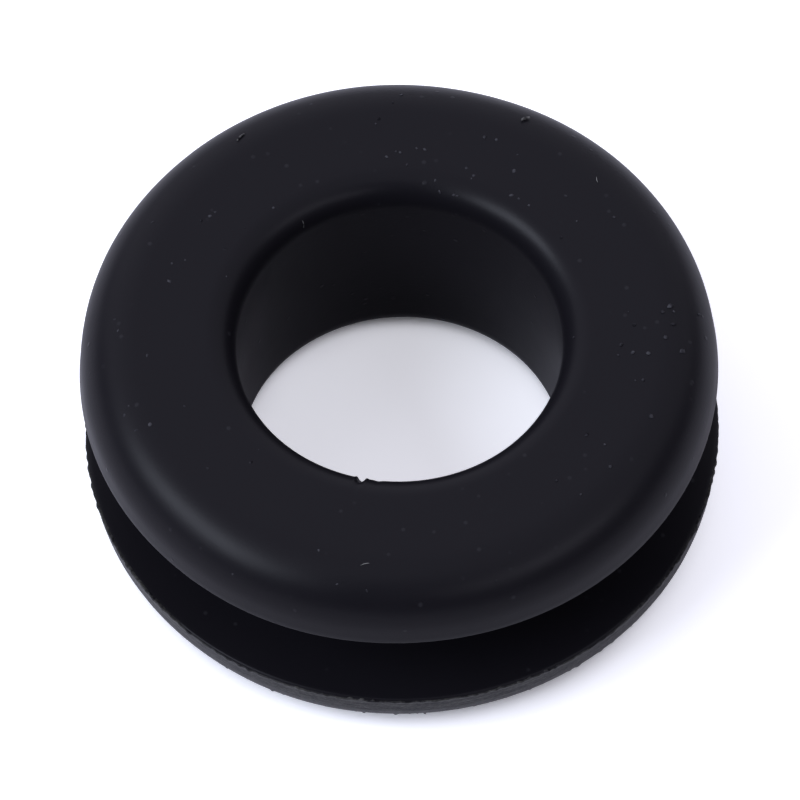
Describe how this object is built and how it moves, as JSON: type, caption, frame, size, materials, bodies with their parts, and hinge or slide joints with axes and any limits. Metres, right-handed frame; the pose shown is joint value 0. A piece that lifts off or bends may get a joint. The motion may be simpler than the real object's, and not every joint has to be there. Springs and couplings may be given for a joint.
{
  "type": "rubber grommet",
  "caption": "Round moulded rubber grommet: two flanges with rounded shoulders, a groove between them for a panel's edge, and a plain round bore for a cable.",
  "frame": {"origin": "centre of the lower flange's flat face, on the bore's axis and on the surface that the grommet lies on", "axes": "+Z along the bore, upwards; the part is round, so +X and +Y are any two directions across it"},
  "size_m": [0.025, 0.025, 0.0101],
  "materials": {
    "moulded_rubber": "satin"
  },
  "bodies": {
    "root": {"grommet": "moulded_rubber"}
  },
  "joints": []
}
